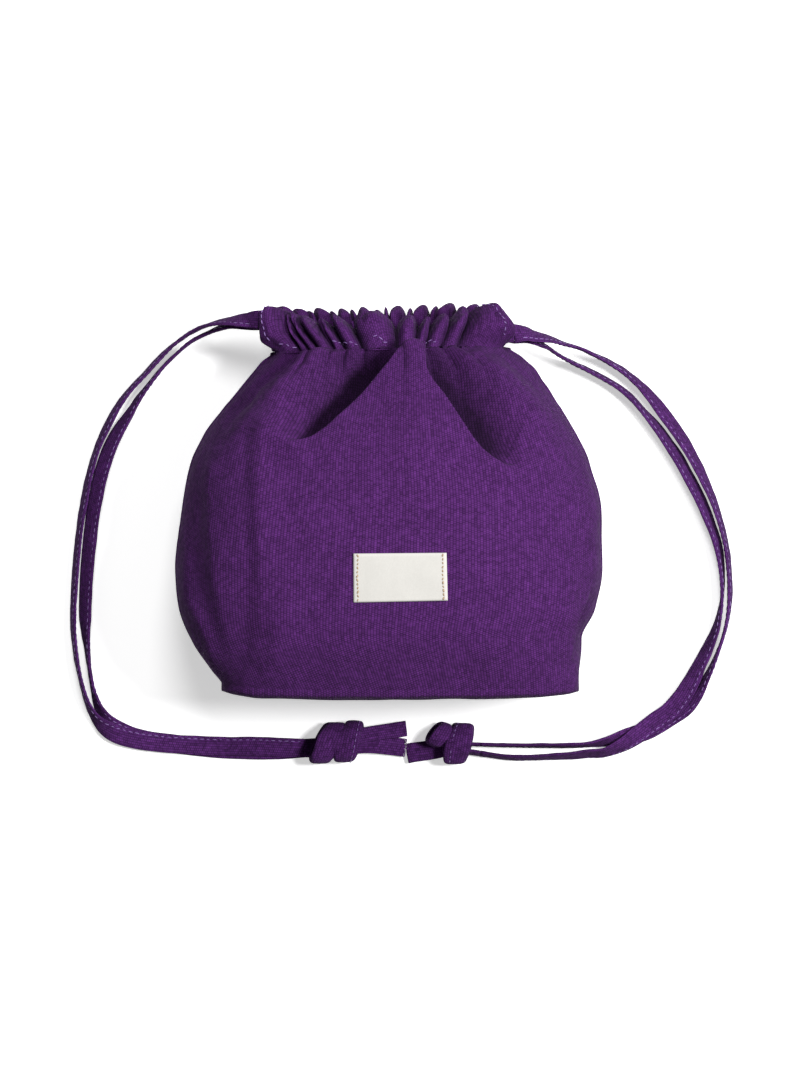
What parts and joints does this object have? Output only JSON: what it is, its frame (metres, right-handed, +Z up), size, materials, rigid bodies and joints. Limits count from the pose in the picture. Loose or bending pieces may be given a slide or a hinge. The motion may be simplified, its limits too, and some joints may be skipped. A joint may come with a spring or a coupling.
{
  "type": "canvas drawstring pouch lying on its back",
  "caption": "Stuffed canvas drawstring pouch with a folded box base, gathered casings round the mouth and knotted self-fabric tapes, lying on its back.",
  "frame": {"origin": "middle of the pouch's own box, without its tapes, on the surface that it lies on", "axes": "+Z up from the surface through the label side, +Y towards the mouth, +X to the right seen from above"},
  "size_m": [0.3276, 0.2271, 0.1071],
  "materials": {
    "canvas": "matt woven canvas",
    "tape": "matt woven canvas, folded and stitched",
    "label_cloth": "matt cotton"
  },
  "bodies": {
    "root": {"front_panel": "canvas", "back_panel": "canvas", "front_casing": "canvas", "back_casing": "canvas", "left_drawstring_run": "tape", "right_drawstring_run": "tape", "left_leg_front": "tape", "left_leg_back": "tape", "right_leg_front": "tape", "right_leg_back": "tape", "left_knot": "tape", "right_knot": "tape", "label": "label_cloth"}
  },
  "joints": []
}
